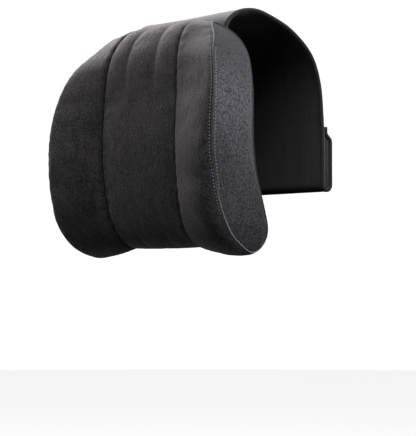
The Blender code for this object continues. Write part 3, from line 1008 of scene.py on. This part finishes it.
def flap_line():
    """Side view of the flap: a smooth curve over the support, then the hem's turn, rise and closing."""
    first, last = 2 * FLAP_LINE[:1] - FLAP_LINE[1:2], 2 * FLAP_LINE[-1:] - FLAP_LINE[-2:-1]
    points = np.concatenate([first, FLAP_LINE, last])
    t = np.linspace(0, len(FLAP_LINE) - 1, 1000)
    i = np.minimum(np.floor(t).astype(int), len(FLAP_LINE) - 2)
    over = smooth(*(points[i + k] for k in range(4)), (t - i)[:, None])
    angle = np.linspace(0, np.pi, 24)[1:]
    bend = over[-1] + HEM_TURN * np.stack([1 - np.cos(angle), -np.sin(angle)], 1)
    rise = np.linspace(0, HEM_TOP, 40)[1:]
    lean = (2 * HEM_TURN - FLAP_THICKNESS - GAP) * ease((rise - BAR_SIZE[2]) / HEM_CLOSING)
    line = np.concatenate([over, bend, bend[-1] + np.stack([-lean, rise], 1)])
    run = run_along(line)
    even = np.linspace(0, run[-1], int(run[-1] / FLAP_STEP))
    return sampled(even, run, line), run[-1]


flap_run, flap_length = flap_line()
flap_way = unit(np.gradient(flap_run, axis=0))
flap_out = outward(flap_way)
print("flap runs", round(flap_length, 3), "m")

# %% Flap
FLAP_WAVE = 0.0007
WAVE_FROM, WAVE_TO = (0.035, 0.05), (0.250, 0.06)
WAVE_ACROSS, WAVE_SWING, SWING_PITCH = 0.021, 2.2, 0.047
WAVE_ALONG, WAVE_LEAN = 0.038, 0.06
BOUND_EDGE = 0.0017
BEAD = (0.28, 0.0020, 0.0022)
BEAD_SEAM = (0.10, 0.0065, 0.0012)


def flap_section():
    """Flat oval round the cloth: half = quarter round at both edges * (1 + bead) * (1 - bead's seam)."""
    u = np.sin(np.linspace(-np.pi / 2, np.pi / 2, 45))
    u = np.sign(u) * np.abs(u) ** 1.2
    from_edge = (1 - np.abs(u)) * FLAP_HALF_WIDTH
    quarter = np.sqrt(np.clip(1 - (1 - np.clip(from_edge / BOUND_EDGE, 0, 1)) ** 2, 0, None))
    half = FLAP_THICKNESS / 2 * quarter * (1 + hump(from_edge, BEAD)) * (1 - hump(from_edge, BEAD_SEAM))
    return np.concatenate([u, u[-2:0:-1]]) * FLAP_HALF_WIDTH, np.concatenate([half, -half[-2:0:-1]])


def flap():
    """The section carried along the middle line; between the back and the hem it waves a little."""
    x, h = flap_section()
    along = np.linspace(0, flap_length, len(flap_run))[:, None]
    free = ease((along - WAVE_FROM[0]) / WAVE_FROM[1]) * ease((WAVE_TO[0] - along) / WAVE_TO[1])
    wave = np.sin(x / WAVE_ACROSS + WAVE_SWING * np.sin(along / SWING_PITCH))
    wave = wave * np.sin(along / WAVE_ALONG + x / WAVE_LEAN)
    yz = flap_run[:, None] + flap_out[:, None] * (h + FLAP_WAVE * free * wave)[..., None]
    grid = np.concatenate([np.broadcast_to(x[:, None], (*yz.shape[:2], 1)), yz], 2)
    index = numbered(yz.shape[:2])
    faces = ring_faces(index) + [index[0].tolist(), index[-1, ::-1].tolist()]
    return make_piece("flap", grid, faces, np.stack(np.broadcast_arrays(x, along), -1))


BINDING = 0.0046


def flap_cloth():
    """Suede whose nap lies in long streaks down the flap, darker on the bound edge."""
    f = Finish("flap_cloth")
    at = f.on_cloth()
    streaks = f.noise(f.stretched(at, (260, 9, 1)), 1.0, 5.0, 0.65)
    broad = f.noise(f.stretched(at, (28, 7, 1)), 1.0, 3.0, 0.5)
    fibre = f.noise(f.place(), 1500.0, 3.0, 0.7)
    edge = ((f.part_of(at).math("ABSOLUTE") - (FLAP_HALF_WIDTH - BINDING)) * 2500).clamp()
    tone = ((streaks - 0.5) * 1.3 + (broad - 0.5) * 0.8 + (fibre - 0.5) * 0.5 + 0.5).clamp()
    cloth = f.mix(tone, (0.015, 0.0145, 0.015, 1), (0.046, 0.044, 0.046, 1))
    f.sockets(
        Base_Color=f.mix(edge, cloth, (0.012, 0.012, 0.0125, 1)), Roughness=(tone * 0.1 + 0.84).clamp(),
        Sheen_Weight=0.5, Sheen_Roughness=0.35, Sheen_Tint=(0.7, 0.7, 0.7, 1), Specular_IOR_Level=0.25,
        Normal=f.bump(fibre, 0.3, 0.0006, f.bump(streaks, 0.2, 0.0015)))
    return f.material


flap_piece = finish_piece(flap(), ["hanging_flap"], flap_cloth())

# %% [markdown]
# The hem's two mouths are sewn shut, so the bar can't slide out. Turning the flap's own cloth in would need a
# fold at each corner. A small pad of the same cloth in each mouth looks the same: a stadium outline that
# fills the hem, with a rounded rim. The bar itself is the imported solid, with a brushed steel finish.

# %% Hem ends
PAD_HALF, PAD_RIM, PAD_INSET = 0.0015, 0.0012, 0.0035
PAD_RADIUS = BAR_SIZE[1] / 2 + 0.0008


def hem_end(name, side):
    """A closed pad: radius = fill - rim * (1 - sqrt(1 - k^2)), k from -1 to 1 across its thickness."""
    cos, sin = circle(1.0, 32).T
    k = np.array([-1, -0.9, -0.6, 0.6, 0.9, 1])[:, None]
    radius = PAD_RADIUS - PAD_RIM * (1 - np.sqrt(1 - k * k))
    y = FLAP_LINE[-1, 0] + HEM_TURN + radius * cos
    z = FLAP_LINE[-1, 1] + radius * sin + np.where(sin > 0, BAR_SIZE[2], 0)
    x = side * (FLAP_HALF_WIDTH - PAD_INSET + k * PAD_HALF)
    index = numbered(y.shape)
    faces = [f[::-1] for f in ring_faces(index)] + [index[0, ::-1].tolist(), index[-1].tolist()]
    if side < 0:
        faces = [f[::-1] for f in faces]
    return make_piece(name, np.stack(np.broadcast_arrays(x, y, z), -1), faces)


hem_cloth = suede("hem_cloth", (0.010, 0.010, 0.0105), (0.026, 0.025, 0.026), 0.25, (0.65, 0.65, 0.66))
for name, side in (("left_hem_end", -1), ("right_hem_end", 1)):
    finish_piece(hem_end(name, side), [], hem_cloth)

# %% Steel bar
steel = Finish("steel")
brushed = steel.noise(steel.place((1, 30, 30)), 60.0, 3.0)
steel.sockets(Base_Color=(0.42, 0.42, 0.43, 1), Metallic=1.0, Roughness=brushed * 0.25 + 0.3,
              Normal=steel.bump(brushed, 0.1, 0.0003))
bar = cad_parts["flap_weight"]
bar.material_slots[0].material = steel.material
print("bar", [round(float(d), 4) for d in bar.dimensions], "m")

# %% [markdown]
# ## Stitches
# Two rows of paler thread hold the seam allowances down beside each end seam, and one dark row runs beside
# each long seam. Dark rows also cross the flap at its seam on the back and at the hem. A dashed line in the
# material would do from afar, but thread stands up from the cloth and catches light. So a stitch is a short
# bead, sunk at both ends, and they follow each other every 3.2 mm.

# %% Rows beside a seam
ROW_INSET = 0.007


def row_at(grid, distance, want):
    """The line on a panel's grid that keeps the wanted distance from its edge."""
    column = np.stack([np.interp(want, d, np.arange(len(d))) for d in distance])
    low = np.minimum(column.astype(int), grid.shape[1] - 2)
    f = (column - low)[:, None]
    rows = np.arange(len(grid))
    return grid[rows, low] * (1 - f) + grid[rows, low + 1] * f


def edge_row(top, edges, edge, want, low, high):
    """The line at a distance from a panel's left or right edge, between two heights, with its normals."""
    out, distance = grid_normals(top), edges[edge]
    if edge == RIGHT:
        top, out, distance = top[:, ::-1], out[:, ::-1], distance[:, ::-1]
    line, normal = row_at(top, distance, want), row_at(out, distance, want)
    kept = (line[:, 2] > low) & (line[:, 2] < high)
    return line[kept], normal[kept]


def across_flap(distance):
    """A row across the flap at a distance along its middle line, on the face that looks to +Y there."""
    k = int(round(distance / flap_length * (len(flap_run) - 1)))
    x = np.linspace(-1, 1, 80) * (FLAP_HALF_WIDTH - ROW_INSET)
    y, z = flap_run[k] + flap_out[k] * FLAP_THICKNESS / 2
    return np.stack([x, 0 * x + y, 0 * x + z], 1), np.broadcast_to([0, *flap_out[k]], (len(x), 3))


# %% Stitches
STITCH_PITCH = 0.0032
STITCH_LENGTH = 0.0014
THREAD_RADIUS = 0.00030
STITCH_LIFT = 0.00020
BEAD_PLACES = np.array([-1, -0.6, 0.6, 1])
BEAD_SHARES = np.array([0.45, 1, 1, 0.45])
THREAD_SIDES = 6


def stitch_row(path, out):
    """Beads along a path: ring radius = thread * (0.45, 1, 1, 0.45), height = lift * (1 - q^2)."""
    run = run_along(path)
    middle = np.arange(STITCH_PITCH / 2, run[-1] - STITCH_PITCH / 2, STITCH_PITCH)
    at = middle[:, None] + BEAD_PLACES * STITCH_LENGTH / 2
    spot, up = sampled(at, run, path), unit(sampled(at, run, out))
    across = unit(np.cross(up, np.broadcast_to(unit(spot[:, -1:] - spot[:, :1]), up.shape)))
    cos, sin = circle(1.0, THREAD_SIDES).T
    ring = across[:, :, None] * cos[:, None] + up[:, :, None] * sin[:, None]
    raised = spot + up * (STITCH_LIFT * (1 - BEAD_PLACES**2))[:, None]
    return raised[:, :, None] + ring * (THREAD_RADIUS * BEAD_SHARES)[:, None, None]


def stitch_piece(name, rows_of, material):
    """All beads of one thread as one piece; each bead is a closed tube of three bands and two caps."""
    points = np.concatenate([stitch_row(path, out) for path, out in rows_of])
    index = numbered(points.shape[:3])
    beside = np.roll(index, -1, 2)
    sides = np.stack([index[:, :-1], beside[:, :-1], beside[:, 1:], index[:, 1:]], -1).reshape(-1, 4)
    ends = np.concatenate([index[:, 0, ::-1], index[:, -1]])
    print(len(points), "stitches in", name)
    finish_piece(make_piece(name, points, sides.tolist() + ends.tolist()), [], material)


def thread(name, colour):
    f = Finish(name)
    twist = f.noise(f.place(), 2500.0, 2.0)
    f.sockets(Base_Color=f.mix(twist, (*[c * 0.7 for c in colour], 1), (*colour, 1)), Roughness=0.6,
              Normal=f.bump(twist, 0.4, 0.0003))
    return f.material


# %% Rows of thread
PALE_FROM_EDGE, END_FROM_EDGE, DARK_FROM_EDGE = 0.0028, 0.0024, 0.0024
PALE_HEIGHTS, DARK_HEIGHTS, END_HEIGHTS = (-0.084, 0.078), (-0.100, 0.100), (-0.060, 0.078)
FRONT_SHARE = 0.55
BACK_ROWS, HEM_ROW = (0.003, 0.011), 0.005
pale_thread = thread("pale_thread", (0.22, 0.22, 0.225))
dark_thread = thread("dark_thread", (0.016, 0.016, 0.017))
pale_rows, dark_rows = [], []
for name, outer_edge, inner_edge in (("left_wing", LEFT, RIGHT), ("right_wing", RIGHT, LEFT)):
    pale_rows.append(edge_row(*panel_tops[name], outer_edge, PALE_FROM_EDGE, *PALE_HEIGHTS))
    dark_rows.append(edge_row(*panel_tops[name], inner_edge, DARK_FROM_EDGE, *DARK_HEIGHTS))
for side, (top, inward) in end_tops.items():
    line = row_at(top.transpose(1, 0, 2), inward.T, END_FROM_EDGE)
    kept = (line[:, 2] > END_HEIGHTS[0]) & (line[:, 2] < END_HEIGHTS[1])
    kept &= np.arange(len(line)) < len(line) * FRONT_SHARE
    pale_rows.append((line[kept], np.broadcast_to([float(side), 0, 0], line[kept].shape)))
dark_rows += [across_flap(distance) for distance in (*BACK_ROWS, flap_length - HEM_ROW)]
stitch_piece("pale_stitches", pale_rows, pale_thread)
stitch_piece("dark_stitches", dark_rows, dark_thread)
